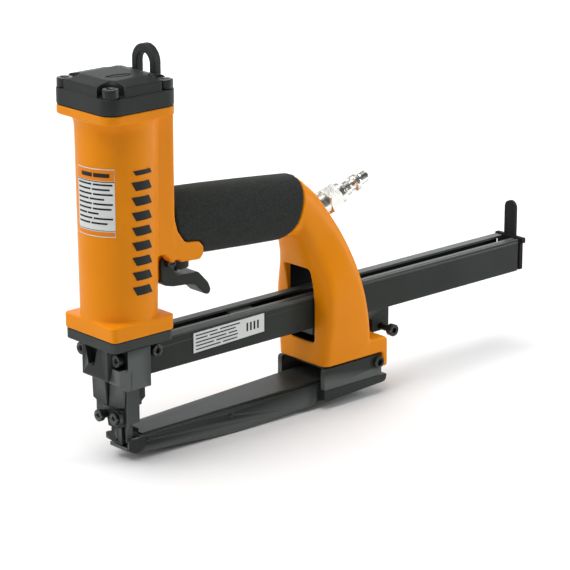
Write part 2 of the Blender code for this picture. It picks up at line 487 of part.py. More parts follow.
arm = prism("clincher_arm", arm_outline, "Y", -30, 30, "black", origin=ARM_PIVOT)
combine(arm, prism("arm_plan", flare(0.0), "Z", -100, -50), "INTERSECT")
FOOT_PLATE = rounded([(153.6, -72.9), (210.6, -72.9), (210.6, -78.2), (157, -80.6), (153.6, -80.0)],
                     [1, 1, 3.5, 1, 1], 3)
join(arm, prism("arm_foot", FOOT_PLATE, "Y", -23.1, 23.1))
join(arm, loft("arm_top", [[(x, y, z) for y, z in rectangle(half, (top + 74) / 2, 0.5, 2, (0, (top - 74) / 2))]
                           for x, half, top in ((8.8, 9.8, -70.0), (150, 14.8, -67.2), (188.0, 15.6, -67.2))],
               smooth=False))
cut(
    arm,
    prism("arm_hollow", [(6, -100), (6, -72.6), (150, -70.4), (190, -76), (190, -100)], "Y", -10.2, 10.2),
    block("tip_room", (-20, 6.6), (-11.1, 11.1), (-76.9, -50)),
    block("tip_far_room", (-20, 4.6), (8.0, 30), (-100, -50)),
    block("tip_slot", (-20, 12.6), (-10.4, 10.4), (-100, -76.8)),
    prism("top_notch", [(-10, -11.1), (4, -11.1), (12.5, -2), (12.5, 4), (5, 11.1), (-10, 11.1)], "Z", -78, -50),
)
anvil = block("anvil", (-3.4, 12.2), (-10.0, 7.6), (-79.6, -77.1), "steel", origin=ARM_PIVOT, bevel=0.3)
for sign in (-1, 1):
    cut(anvil, rod(f"clinch_groove_{sign}", (-1.1, sign * 3.4, -75.9), (1, 0, 0), 3.2, 2.6, 20, low=-1.6))
for i, (x, z, half) in enumerate(((12.0, -74.5, 13.3), (79.1, -73.9, 15.6)), 1):
    lathe(f"arm_pin_{i}", [(0, -half), (1.8, -half), (2.2, 0.4 - half), (2.2, half - 0.4), (1.8, half), (0, half)],
          (x, 0, z), (0, 1, 0), 16, "steel", origin=ARM_PIVOT)
    cut(arm, rod(f"arm_pin_way_{i}", (x, -30, z), (0, 1, 0), 60, 2.2 + GAP, 16))
BRACKET = rounded([(153.4, -58.0), (203.4, -58.0), (205.6, -61.0), (205.6, -72.5), (153.4, -72.5)],
                  [2, 3, 2, 0.5, 0.5], 3)
bracket = prism("pivot_bracket", BRACKET, "Y", -23.2, 23.2, "black", origin=ARM_PIVOT)
cut(
    bracket,
    block("bracket_front_room", (140, 165), (-19.4, 19.4), (-90, -50)),
    block("bracket_low_room", (160, 220), (-19.4, 19.4), (-90, -63.2)),
    block("bracket_lug_room", (189.5, 220), (-19.4, 19.4), (-70, -50)),
)
BOLT = [(0, -25.6), (3.5, -25.6), (4.1, -25.0), (4.1, -23.6), (3.0, -23.6), (3.0, 23.6), (4.0, 23.6), (4.0, 25.6),
        (0, 25.6)]
bolt = lathe("arm_pivot_bolt", BOLT, ARM_PIVOT, (0, 1, 0), 24, "black")
cut(bolt, rod("pivot_bolt_socket", (202.0, -25.8, -62.8), (0, 1, 0), 2.2, 2.6, 6))
cut(bracket, rod("bracket_bolt_way", (202.0, -30, -62.8), (0, 1, 0), 60, 3.05, 24))
cut(arch, rod("arch_bolt_way", (202.0, -30, -62.8), (0, 1, 0), 60, 3.0 + GAP, 24))

# --- labels ---------------------------------------------------------------------------------------
sheet = bmesh.new()
corners = [(25.62, 65), (25.92, 65), (25.92, 108), (25.62, 108)]
verts = [sheet.verts.new((r * MM, 0, z * MM)) for r, z in corners]
first = sheet.faces.new(verts)
start, sweep = math.radians(165), math.radians(64)
bmesh.ops.rotate(sheet, verts=sheet.verts, cent=(0, 0, 0), matrix=Matrix.Rotation(start, 3, "Z"))
bmesh.ops.spin(sheet, geom=[first], cent=(0, 0, 0), axis=(0, 0, 1), angle=sweep, steps=14)
bmesh.ops.translate(sheet, verts=sheet.verts, vec=place(0, 0, 0))
solid(sheet, "barrel_label", "label")
prism("magazine_label", rounded([(50.0, -12.2), (50.0, -26.4), (111, -24.6), (111, -11.3)], 0.8, 2), "Y", -11.7, -11.4,
      "label")
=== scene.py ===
"""Looks of the pneumatic plier stapler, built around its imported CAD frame.

Sizes are in millimetres from the tool's datum, as in the part: the barrel axis at the underside of its
lower flange, X from the nose to the rear, Y across and Z up. place() gives the frame's metres.
"""

import json
import math

import bmesh
import bpy
from mathutils import Matrix, Vector

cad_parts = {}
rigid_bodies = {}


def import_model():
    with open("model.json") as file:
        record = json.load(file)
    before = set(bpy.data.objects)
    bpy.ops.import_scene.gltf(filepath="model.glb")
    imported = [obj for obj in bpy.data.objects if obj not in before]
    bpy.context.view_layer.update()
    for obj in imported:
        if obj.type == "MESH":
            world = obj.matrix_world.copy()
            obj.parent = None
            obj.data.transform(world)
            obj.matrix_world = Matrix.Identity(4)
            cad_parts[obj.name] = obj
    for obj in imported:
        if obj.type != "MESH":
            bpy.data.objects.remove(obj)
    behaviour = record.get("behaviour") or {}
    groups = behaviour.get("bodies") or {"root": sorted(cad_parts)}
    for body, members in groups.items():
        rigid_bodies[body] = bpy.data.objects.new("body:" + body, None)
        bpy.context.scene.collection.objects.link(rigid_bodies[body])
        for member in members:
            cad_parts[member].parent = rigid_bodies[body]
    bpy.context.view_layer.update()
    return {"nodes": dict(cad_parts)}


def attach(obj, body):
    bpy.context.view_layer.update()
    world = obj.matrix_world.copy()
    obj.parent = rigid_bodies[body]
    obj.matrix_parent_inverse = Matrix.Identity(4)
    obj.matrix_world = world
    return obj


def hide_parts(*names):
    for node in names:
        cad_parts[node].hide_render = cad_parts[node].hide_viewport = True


MM = 0.001
DATUM_SHIFT = Vector((-164.2, 0.0, 86.0))
scene = bpy.context.scene

for leftover in list(bpy.data.objects):
    bpy.data.objects.remove(leftover)
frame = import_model()


def place(x, y, z):
    return (Vector((x, y, z)) + DATUM_SHIFT) * MM


# --- materials ------------------------------------------------------------------------------------
def tree_of(name):
    made = bpy.data.materials.new(name)
    made.use_nodes = True
    tree = made.node_tree
    return made, tree, tree.nodes["Principled BSDF"]


def noise(tree, scale, detail=4.0, stretch=None):
    """A noise texture's factor output, in object space, stretched along the axes given."""
    where = tree.nodes.new("ShaderNodeTexCoord")
    made = tree.nodes.new("ShaderNodeTexNoise")
    made.inputs["Scale"].default_value = scale
    made.inputs["Detail"].default_value = detail
    source = where.outputs["Object"]
    if stretch:
        mapping = tree.nodes.new("ShaderNodeMapping")
        mapping.inputs["Scale"].default_value = stretch
        tree.links.new(source, mapping.inputs["Vector"])
        source = mapping.outputs["Vector"]
    tree.links.new(source, made.inputs["Vector"])
    return made.outputs["Fac"]


def ramp(tree, source, stops):
    made = tree.nodes.new("ShaderNodeValToRGB")
    while len(made.color_ramp.elements) < len(stops):
        made.color_ramp.elements.new(0.5)
    for element, (position, colour) in zip(made.color_ramp.elements, stops):
        element.position = position
        element.color = (*colour, 1.0) if len(colour) == 3 else (colour[0],) * 3 + (1.0,)
    tree.links.new(source, made.inputs["Fac"])
    return made.outputs["Color"]


def bumped(tree, shader, height, strength, distance):
    made = tree.nodes.new("ShaderNodeBump")
    made.inputs["Strength"].default_value = strength
    made.inputs["Distance"].default_value = distance
    tree.links.new(height, made.inputs["Height"])
    tree.links.new(made.outputs["Normal"], shader.inputs["Normal"])


def coated(name, dark, light, edge, rough, grain, bump, gloss=0.14, metallic=0.0):
    """A coated or plain matte surface: a soft colour drift, a fine grain and edges of another tone."""
    made, tree, shader = tree_of(name)
    drift = ramp(tree, noise(tree, 22.0, 3.0), [(0.3, dark), (0.7, light)])
    # convex edges, found from the mesh's pointiness, take the edge tone
    pointy_edges = tree.nodes.new("ShaderNodeNewGeometry").outputs["Pointiness"]
    edges = ramp(tree, pointy_edges, [(0.53, (0.0,)), (0.6, (1.0,))])
    blend = tree.nodes.new("ShaderNodeMix")
    blend.data_type = "RGBA"
    blend.inputs["B"].default_value = (*edge, 1.0)
    tree.links.new(edges, blend.inputs["Factor"])
    tree.links.new(drift, blend.inputs["A"])
    tree.links.new(blend.outputs["Result"], shader.inputs["Base Color"])
    shader.inputs["Specular IOR Level"].default_value = gloss
    fine = noise(tree, grain, 2.0)
    tree.links.new(ramp(tree, fine, [(0.25, (rough[0],)), (0.75, (rough[1],))]), shader.inputs["Roughness"])
    shader.inputs["Metallic"].default_value = metallic
    bumped(tree, shader, fine, bump, 0.00012)
    return made


def metal(name, dark, light, rough, stretch, scale=240.0, bump=0.12):
    """A bare or plated metal with fine machining marks along the axis with the small stretch."""
    made, tree, shader = tree_of(name)
    marks = noise(tree, scale, 3.0, stretch)
    tree.links.new(ramp(tree, marks, [(0.3, dark), (0.7, light)]), shader.inputs["Base Color"])
    tree.links.new(ramp(tree, marks, [(0.3, (rough[0],)), (0.7, (rough[1],))]), shader.inputs["Roughness"])
    shader.inputs["Metallic"].default_value = 1.0
    bumped(tree, shader, marks, bump, 0.00005)
    return made


def foam(name):
    """Closed-cell foam: fine pores over a soft, slightly uneven skin."""
    made, tree, shader = tree_of(name)
    cells = tree.nodes.new("ShaderNodeTexVoronoi")
    cells.inputs["Scale"].default_value = 1500.0
    where = tree.nodes.new("ShaderNodeTexCoord")
    tree.links.new(where.outputs["Object"], cells.inputs["Vector"])
    drift = ramp(tree, noise(tree, 900.0, 3.0),
                 [(0.3, (0.008, 0.01, 0.009)), (0.72, (0.022, 0.026, 0.023))])
    tree.links.new(drift, shader.inputs["Base Color"])
    rough = ramp(tree, noise(tree, 300.0), [(0.2, (0.82,)), (0.8, (0.98,))])
    tree.links.new(rough, shader.inputs["Roughness"])
    shader.inputs["Specular IOR Level"].default_value = 0.2
    shader.inputs["Sheen Weight"].default_value = 0.05
    shader.inputs["Sheen Roughness"].default_value = 0.6
    bumped(tree, shader, cells.outputs["Distance"], 0.55, 0.0003)
    return made


ENAMEL = coated("orange_enamel", (0.74, 0.235, 0.0015), (0.79, 0.255, 0.002), (0.88, 0.33, 0.008),
                (0.36, 0.46), 700.0, 0.14, gloss=0.12)
CAP_BLACK = coated("cap_black", (0.02, 0.024, 0.021), (0.032, 0.037, 0.034), (0.11, 0.12, 0.115),
                   (0.42, 0.56), 1100.0, 0.5, gloss=0.15)
BLACK = coated("tool_black", (0.02, 0.024, 0.021), (0.029, 0.034, 0.031), (0.1, 0.11, 0.105),
               (0.36, 0.48), 900.0, 0.2, gloss=0.12)
OXIDE = coated("black_oxide", (0.008, 0.009, 0.008), (0.016, 0.018, 0.017), (0.09, 0.1, 0.095),
               (0.25, 0.38), 800.0, 0.15, gloss=0.3)
# near-black material used as painted shade inside the arch's tunnel and the nose housing's pocket
PAINTED_SHADE = coated("painted_shade_black", (0.004, 0.005, 0.0045), (0.008, 0.009, 0.0085), (0.01, 0.01, 0.01),
              (0.6, 0.8), 800.0, 0.2, gloss=0.1)
FOAM = foam("grip_foam")
STEEL = metal("bright_steel", (0.42, 0.42, 0.41), (0.62, 0.62, 0.6), (0.22, 0.38), (0.05, 1.0, 1.0))
NICKEL = metal("warm_nickel", (0.68, 0.67, 0.63), (0.82, 0.81, 0.77), (0.18, 0.3), (1.0, 0.15, 1.0))
RUBBER = coated("black_rubber", (0.008, 0.008, 0.008), (0.014, 0.014, 0.014), (0.02, 0.02, 0.02),
                (0.6, 0.8), 600.0, 0.3)
PAPER = coated("label_film", (0.62, 0.64, 0.63), (0.7, 0.72, 0.71), (0.7, 0.72, 0.71),
               (0.4, 0.5), 300.0, 0.05)
INK = coated("label_ink", (0.012, 0.014, 0.014), (0.02, 0.023, 0.022), (0.02, 0.023, 0.022),
             (0.4, 0.5), 300.0, 0.05)
HEADER = coated("label_header", (0.7, 0.2, 0.004), (0.76, 0.23, 0.006), (0.76, 0.23, 0.006),
                (0.4, 0.5), 300.0, 0.05)


# --- mesh helpers ---------------------------------------------------------------------------------
def solid(bm, name):
    bmesh.ops.remove_doubles(bm, verts=bm.verts, dist=1e-6)
    bmesh.ops.recalc_face_normals(bm, faces=bm.faces)
    mesh = bpy.data.meshes.new(name)
    bm.to_mesh(mesh)
    bm.free()
    obj = bpy.data.objects.new(name, mesh)
    scene.collection.objects.link(obj)
    return obj


def rounded(corners, radius, steps=6):
    """The outline with each corner rounded; radius is one number or one for each corner."""
    radii = radius if isinstance(radius, (list, tuple)) else [radius] * len(corners)
    outline = []
    for i, corner in enumerate(corners):
        here = Vector(corner)
        back = (Vector(corners[i - 1]) - here).normalized()
        ahead = (Vector(corners[(i + 1) % len(corners)]) - here).normalized()
        turn = math.pi - back.angle(ahead)
        if radii[i] <= 0 or turn < 0.02:
            outline.append(tuple(here))
            continue
        reach = radii[i] * math.tan(turn / 2)
        centre = here + (back + ahead).normalized() * (radii[i] / math.cos(turn / 2))
        start = here + back * reach - centre
        side = 1.0 if start.y * back.x - start.x * back.y > 0 else -1.0
        for k in range(steps + 1):
            angle = side * turn * k / steps
            outline.append((
                centre.x + start.x * math.cos(angle) - start.y * math.sin(angle),
                centre.y + start.x * math.sin(angle) + start.y * math.cos(angle),
            ))
    return outline


def rectangle(half_a, half_b, radius=0.0, centre=(0.0, 0.0), steps=8):
    a, b = centre
    corners = [(a - half_a, b - half_b), (a + half_a, b - half_b),
               (a + half_a, b + half_b), (a - half_a, b + half_b)]
    return rounded(corners, radius, steps) if radius else corners


def prism(name, outline, axis, low, high):
    """The outline extruded along axis. It is (y, z) for X, (x, z) for Y and (x, y) for Z."""
    at = {
        "X": lambda a, b, c: place(c, a, b),
        "Y": lambda a, b, c: place(a, c, b),
        "Z": lambda a, b, c: place(a, b, c),
    }[axis]
    bm = bmesh.new()
    face = bm.faces.new([bm.verts.new(at(a, b, low)) for a, b in outline])
    grown = bmesh.ops.extrude_face_region(bm, geom=[face])
    moved = [item for item in grown["geom"] if isinstance(item, bmesh.types.BMVert)]
    along = Vector(((axis == "X"), (axis == "Y"), (axis == "Z"))) * (high - low) * MM
    bmesh.ops.translate(bm, verts=moved, vec=along)
    return solid(bm, name)


def block(name, x, y, z):
    return prism(name, [(x[0], y[0]), (x[1], y[0]), (x[1], y[1]), (x[0], y[1])], "Z", z[0], z[1])


def lathe(name, profile, base, along, sides=96, ring=False):
    """A profile of (radius, height) turned about the line through base along the direction given."""
    bm = bmesh.new()
    verts = [bm.verts.new((radius * MM, 0.0, height * MM)) for radius, height in profile]
    edges = [bm.edges.new(pair) for pair in zip(verts, verts[1:])]
    if ring:
        edges.append(bm.edges.new((verts[-1], verts[0])))
    bmesh.ops.spin(bm, geom=verts + edges, cent=(0, 0, 0), axis=(0, 0, 1), angle=2 * math.pi,
                   steps=sides, use_merge=True)
    bmesh.ops.remove_doubles(bm, verts=bm.verts, dist=1e-7)
    turn = Vector((0, 0, 1)).rotation_difference(Vector(along)).to_matrix().to_4x4()
    bmesh.ops.transform(bm, matrix=Matrix.Translation(place(*base)) @ turn, verts=bm.verts)
    return solid(bm, name)


def rod(name, base, along, length, radius, sides=48, low=0.0):
    profile = [(0, low), (radius, low), (radius, low + length), (0, low + length)]
    return lathe(name, profile, base, along, sides)


def loft(name, rings):
    bm = bmesh.new()
    loops = [[bm.verts.new(place(*point)) for point in ring] for ring in rings]
    for before, after in zip(loops, loops[1:]):
        for i, vert in enumerate(before):
            j = (i + 1) % len(before)
            bm.faces.new((vert, before[j], after[j], after[i]))
    bm.faces.new(loops[0])
    bm.faces.new(loops[-1])
    return solid(bm, name)


def oval(front, rear, half_width, power, count=64):
    middle = (Vector(front) + Vector(rear)) / 2
    depth = (Vector(rear) - Vector(front)) / 2
    ring = []
    for k in range(count):
        c, s = math.cos(2 * math.pi * k / count), math.sin(2 * math.pi * k / count)
        u = math.copysign(abs(c) ** (2 / power), c)
        v = math.copysign(abs(s) ** (2 / power), s)
        ring.append((middle.x + depth.x * u, half_width * v, middle.y + depth.y * u))
    return ring


def boolean(target, operation, *others):
    for other in others:
        step = target.modifiers.new(other.name, "BOOLEAN")
        step.operation = operation
        step.solver = "EXACT"
        step.object = other
    applied(target)
    for other in others:
        bpy.data.objects.remove(other)
    return target


def cut(target, *others):
    return boolean(target, "DIFFERENCE", *others)


def join(target, *others):
    return boolean(target, "UNION", *others)


def applied(obj):
    """Makes the modifiers' result the object's own mesh."""
    bpy.context.view_layer.update()
    made = bpy.data.meshes.new_from_object(obj.evaluated_get(bpy.context.evaluated_depsgraph_get()))
    obj.modifiers.clear()
    obj.data = made
    return obj


def cast(obj, voxel, passes, keep=1.0):
    """Turns a joined shape into a casting: its edges soften and its inner corners fill a little."""
    remesh = obj.modifiers.new("remesh", "REMESH")
    remesh.mode = "VOXEL"
    remesh.voxel_size = voxel * MM
    smooth = obj.modifiers.new("smooth", "SMOOTH")
    smooth.factor = 0.5
    smooth.iterations = passes
    if keep < 1.0:
        thin = obj.modifiers.new("thin", "DECIMATE")
        thin.ratio = keep
    applied(obj)
    obj.data.shade_smooth()
    return obj


def crisp(obj, width, angle=35.0, segments=3, flat=False):
    """Rounds the hard edges of a machined or folded piece by width, and can leave its faces flat."""
    bevel = obj.modifiers.new("bevel", "BEVEL")
    bevel.width = width * MM
    bevel.segments = segments
    bevel.limit_method = "ANGLE"
    bevel.angle_limit = math.radians(angle)
    bevel.miter_outer = "MITER_ARC"
    bevel.use_clamp_overlap = True
    applied(obj)
    if flat:
        obj.data.shade_flat()
        return obj
    obj.data.shade_smooth()
    obj.data.set_sharp_from_angle(angle=math.radians(40))
    even = obj.modifiers.new("even", "WEIGHTED_NORMAL")
    even.keep_sharp = True
    return applied(obj)


def copy_of(node, name):
    """A new piece with the CAD node's shape, its flat facets merged into whole faces."""
    mesh = frame["nodes"][node].data.copy()
    bm = bmesh.new()
    bm.from_mesh(mesh)
    bmesh.ops.remove_doubles(bm, verts=bm.verts, dist=2e-6)
    bmesh.ops.dissolve_limit(bm, angle_limit=math.radians(0.7), verts=bm.verts, edges=bm.edges)
    made = solid(bm, name)
    bpy.data.meshes.remove(mesh)
    return made


def show(obj, material, body, *nodes):
    """Gives the piece its material and body, and lets it stand for the CAD nodes named."""
    obj.data.materials.clear()
    obj.data.materials.append(material)
    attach(obj, body)
    if nodes:
        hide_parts(*nodes)
    return obj


def turned(profile, radius):
    """A lathe profile with its outer corners rounded by radius."""
    return rounded(profile, [0] + [radius] * (len(profile) - 2) + [0], 3)


# --- barrel and handle casting --------------------------------------------------------------------
HANDLE_SLOPE = -0.077


def handle_z(x):
    return 58.3 + HANDLE_SLOPE * (x - 70.0)


def handle_ring(x, half_height, half_width, power=2.5, count=64):
    lean = -HANDLE_SLOPE * half_height
    z = handle_z(x)
    return oval((x - lean, z - half_height), (x + lean, z + half_height), half_width, power, count)


LUG = [(12, 62), (12, 50.8), (17.6, 50.8), (28.2, 41.8), (30.5, 38.8), (52.4, 37.1), (55.6, 40.2),
       (55.6, 45.4), (51.8, 49.2), (40.4, 50.2), (34.4, 58.4), (32.4, 62)]
BOSS = [(29.4, 44), (29.4, 34), (31.5, 32.6), (36, 32.6), (38.4, 34), (38.4, 44)]
PIN_X, PIN_Z = 33.8, 37.1
VALVE_X = 47.2
CHEEK = [(14, 74), (14, 46), (52.0, 46), (52.2, 49.3), (40.4, 50.6), (34.4, 58.8), (32.2, 66.6), (31.0, 74)]
barrel = lathe("barrel_casting", [(0, 4), (24.2, 4), (24.3, 12), (25.3, 122), (25.5, 131), (26.4, 135.2),
                                  (27.6, 138), (27.6, 140), (0, 140)], (0, 0, 0), (0, 0, 1), 180)
join(
    barrel,
    prism("flange_low", rectangle(24.4, 25.4, 3.6), "Z", -0.15, 9.5),
    prism("flange_top", rectangle(27.7, 28.9, 9.5), "Z", 137.1, 142.85),
    prism("spine", rectangle(11.5, 17.2, 2.5, centre=(21.3, 0.0)), "Z", 49.0, 139.0),
    prism("spine_web", rectangle(10.5, 5.0, 1.5, centre=(21.5, 0.0)), "Z", 25.5, 60.0),
    loft("handle_core", [handle_ring(x, 14.2, 10.8) for x in (24, 80, 136)]),
    prism("trigger_lug", rounded(LUG, [0, 0, 2, 2, 3, 3, 3, 3, 2, 4, 0, 0]), "Y", -16.7, 16.7),
    prism("spine_cheek", rounded(CHEEK, [0, 0, 0, 2, 5, 8, 0, 0]), "Y", -17.0, 17.0),
    prism("pivot_boss", rounded(BOSS, 1.5), "Y", -5.0, 5.0),
)
cut(
    barrel,
    rod("bore", (0, 0, 11.0), (0, 0, 1), 140, 20.6, 96),
    rod("valve_bore", (VALVE_X, 0, 30), (0, 0, 1), 30, 7.7),
    block("cheek_slot_left", (23, 42.3), (-8.3, -5.2), (20, 43)),
    block("cheek_slot_right", (23, 42.3), (5.2, 8.3), (20, 43)),
    rod("pin_head_room_left", (PIN_X, -20, PIN_Z), (0, 1, 0), 12, 3.6),
    rod("pin_head_room_right", (PIN_X, 20, PIN_Z), (0, -1, 0), 12, 3.6),
)
cast(barrel, 0.7, 4)
show(barrel, ENAMEL, "frame", "body_casting")

# --- arch -----------------------------------------------------------------------------------------
SEAM = [(147.0, 92), (144.4, 77), (142.8, 70), (141.2, 62.5), (139.4, 53.5), (136.2, 45.5), (131.8, 39.0),
        (126.5, 34.4), (120.0, 31.5), (120.0, 20)]
ARCH = [
    ((139.8, 32.6), (143.0, 73.6), 17.0, 2.5),
    ((141.2, 29.0), (149.5, 68.2), 17.3, 2.6),
    ((142.6, 25.5), (157.6, 60.6), 17.6, 2.8),
    ((145.2, 18.0), (167.6, 47.0), 18.6, 3.2),
    ((148.8, 8.8), (176.0, 31.5), 21.6, 4.0),
    ((151.6, -1.0), (182.6, 14.0), 25.2, 5.0),
    ((153.0, -11.0), (187.8, -4.5), 27.2, 6.5),
    ((153.6, -22.0), (191.9, -21.0), 26.8, 8.0),
    ((153.6, -40.0), (195.6, -38.0), 25.2, 9.0),
    ((153.2, -56.8), (197.4, -56.8), 23.8, 9.0),
]


def between(rows, parts=5):
    """The rows with smooth steps between them, so that the skin has no creases."""
    flat = [[*row[0], *row[1], row[2], row[3]] for row in rows]
    made = []
    for i in range(len(flat) - 1):
        around = [flat[max(i - 1, 0)], flat[i], flat[i + 1], flat[min(i + 2, len(flat) - 1)]]
        for k in range(parts):
            t = k / parts
            weights = [(-t + 2 * t * t - t ** 3) / 2, (2 - 5 * t * t + 3 * t ** 3) / 2,
                       (t + 4 * t * t - 3 * t ** 3) / 2, (t ** 3 - t * t) / 2]
            made.append([sum(w * row[n] for w, row in zip(weights, around)) for n in range(6)])
    made.append(flat[-1])
    return [((a, b), (c, d), e, f) for a, b, c, d, e, f in made]


arch = loft("arch_skin", [handle_ring(121, 20.9, 17.0)] + [oval(*row) for row in between(ARCH)])
HEEL = [(180, -46.2), (210.8, -46.2), (210.8, -67.4), (206.6, -67.4), (206.2, -56.8), (180, -56.8)]
LUG_BASE = [(192.6, -50), (208.2, -50), (208.2, -68.0), (203.5, -69.8), (196.5, -69.8), (192.6, -66.0)]
cut(arch, prism("arch_front_trim", [(x + 0.5, z) for x, z in SEAM] + [(90, 20), (90, 92)], "Y", -40, 40))
join(
    arch,
    prism("heel", rounded(HEEL, [0, 3.0, 1.0, 0.6, 1.2, 0]), "Y", -23.7, 23.7),
    prism("pivot_lug", rounded(LUG_BASE, [0, 0, 0, 2, 3, 0]), "Y", -10.0, 10.0),
)
PLUG_SLOPE = math.radians(18.0)
PLUG_AXIS = (math.cos(PLUG_SLOPE), 0.0, math.sin(PLUG_SLOPE))
PLUG_SEAT = (163.0, 0.0, 44.8)
cut(
    arch,
    loft("tunnel", [
        [(110, y, z) for y, z in rectangle(12.4, 30.0, 2.0, centre=(0, -12.0))],
        [(150, y, z) for y, z in rectangle(12.4, 26.0, 2.0, centre=(0, -16.0))],
        [(230, y, z) for y, z in rectangle(12.4, 18.2, 2.0, centre=(0, -23.8))],
    ]),
    rod("bushing_seat", PLUG_SEAT, PLUG_AXIS, 60, 10.3, 64, low=7.2),
)
cast(arch, 0.8, 6)
show(arch, ENAMEL, "frame", "arch_casting")
# the tunnel's inner faces get the near-black material in place of the orange enamel: painted shade for the
# hollow
arch.data.materials.append(PAINTED_SHADE)
for face in arch.data.polygons:
    x, y, z = face.center / MM - DATUM_SHIFT
    ceiling = 18.0 - (x - 110.0) * 0.197 + 0.5
    if x > 155.0 and abs(y) < 12.9 and -42.6 < z < ceiling:
        face.material_index = 1

# --- head -----------------------------------------------------------------------------------------
CAP_SEAT = 142.7
CORNERS = [(sx * 20.9, sy * 22.3) for sx, sy in ((-1, -1), (1, -1), (1, 1), (-1, 1))]


def dome_outline(half_x, half_y, clear, steps=10):
    outline = []
    for i, (x, y) in enumerate(CORNERS):
        sx, sy = math.copysign(1, x), math.copysign(1, y)
        on_x = (sx * half_x, y - sy * math.sqrt(clear ** 2 - (half_x - abs(x)) ** 2))
        on_y = (x - sx * math.sqrt(clear ** 2 - (half_y - abs(y)) ** 2), sy * half_y)
        first, last = (on_y, on_x) if i % 2 else (on_x, on_y)
        a = math.atan2(first[1] - y, first[0] - x)
        b = math.atan2(last[1] - y, last[0] - x)
        sweep = (b - a + math.pi) % (2 * math.pi) - math.pi
        for k in range(steps + 1):
            angle = a + sweep * k / steps
            outline.append((x + clear * math.cos(angle), y + clear * math.sin(angle)))
    return outline


cap = prism("head_cap", rectangle(27.7, 28.9, 9.5), "Z", CAP_SEAT + 0.7, 153.0)
DOME = [(26.6, 27.7, 8.3, 150.0), (26.6, 27.7, 8.3, 158.4), (25.9, 27.0, 8.5, 159.4),
        (15.0, 16.1, 10.4, 161.5)]
join(cap, loft("dome", [[(x, y, level[3]) for x, y in dome_outline(*level[:3])] for level in DOME]))


def lens(name, length, width, low, high, turn=-8.0):
    """A flat leaf between two arcs, turned about Z, for the mark on top of the dome."""
    edge = [(length * math.cos(math.pi * k / 24), width * math.sin(math.pi * k / 24)) for k in range(25)]
    outline = edge + [(x, -y) for x, y in reversed(edge[1:-1])]
    c, s = math.cos(math.radians(turn)), math.sin(math.radians(turn))
    return prism(name, [(-1.5 + x * c - y * s, -6.0 + x * s + y * c) for x, y in outline], "Z", low, high)


cut(cap, block("loop_room", (21.9, 40), (-11.8, 11.8), (153.2, 200)),
    lens("mark_groove", 9.0, 3.6, 160.4, 166),
    rod("valve_room", (0, 0, 130), (0, 0, 1), 26.9, 15.4, 64))
join(cap, lens("mark_rise", 7.6, 1.9, 158.4, 161.4))
cast(cap, 0.45, 2)
show(cap, CAP_BLACK, "frame", "cylinder_cap")
gasket = prism("head_gasket", rectangle(27.45, 28.65, 9.5), "Z", CAP_SEAT + 0.05, CAP_SEAT + 0.75)
cut(gasket, rod("gasket_bore", (0, 0, 140), (0, 0, 1), 8, 20.5, 64))
show(crisp(gasket, 0.1), RUBBER, "frame", "cap_gasket")

half_turn = [math.pi * k / 32 for k in range(33)]
loop_outer = [(11.1 * math.cos(a), 165.9 + 11.1 * math.sin(a)) for a in half_turn]
loop_inner = [(6.1 * math.cos(a), 165.4 + 6.1 * math.sin(a)) for a in reversed(half_turn)]
eye = [(11.1, 153.4)] + loop_outer + [(-11.1, 153.4), (-6.1, 153.4)] + loop_inner + [(6.1, 153.4)]
hook = prism("hanging_eye", eye, "X", 22.1, 27.5)
join(hook, block("eye_foot", (22.1, 27.5), (-9.8, 9.8), (153.4, 157.0)))
cast(hook, 0.4, 10)
show(hook, CAP_BLACK, "frame", "hanging_loop")


def socket_screw(name, node, seat, along, radius, height, socket, shank=0.0, length=0.0, material=OXIDE):
    """A socket-head screw with a rounded rim, a chamfered hexagon and, where it shows, its shank."""
    profile = [(0, -length), (shank, -length), (shank, 0), (radius, 0), (radius, height), (0, height)]
    if not shank:
        profile = profile[2:]
        profile[0] = (0, 0)
    made = lathe(name, turned(profile, min(0.7, radius * 0.17)), seat, along, 64)
    chamfer = [(0, height - socket * 0.12), (socket * 0.5, height - socket * 0.12),
               (socket * 0.62, height + 0.02), (socket * 0.62, height + 1), (0, height + 1)]
    cut(made, rod(name + "_hex", seat, along, height, socket / 2, 6, low=0.4 * height),
        lathe(name + "_chamfer", chamfer, seat, along, 48))
    return show(crisp(made, 0.15, 50.0, 2), material, "frame", node)


for i, (x, y) in enumerate(CORNERS, 1):
    socket_screw(f"head_bolt_{i}", f"cap_screw_{i}", (x, y, 153.0), (0, 0, 1), 5.2, 6.0, 5.0)

# --- grip -----------------------------------------------------------------------------------------
GRIP = [(31.5, 20.4, 16.8), (34.5, 21.4, 17.3), (46, 21.8, 17.6), (70, 21.9, 17.6), (100, 21.6, 17.5),
        (128, 21.1, 17.2), (146, 20.7, 16.9)]
LUG_ROOM = [(20, 90), (20, 30), (56.2, 30), (56.2, 45.7), (52.4, 49.9), (40.8, 51.2), (34.9, 59.3),
            (33.2, 67), (33.2, 90)]
grip = loft("grip_foam_sleeve", [handle_ring(*row) for row in GRIP])
cut(
    grip,
    prism("grip_rear_trim", SEAM + [(190, 20), (190, 92)], "Y", -40, 40),
    loft("grip_core_room", [handle_ring(x, 14.8, 11.4) for x in (20, 80, 150)]),
    prism("grip_lug_room", rounded(LUG_ROOM, [0, 0, 0, 3, 4, 5, 8, 0, 0]), "Y", -30, 30),
)
cast(grip, 0.9, 6)
show(grip, FOAM, "frame", "grip_sleeve")

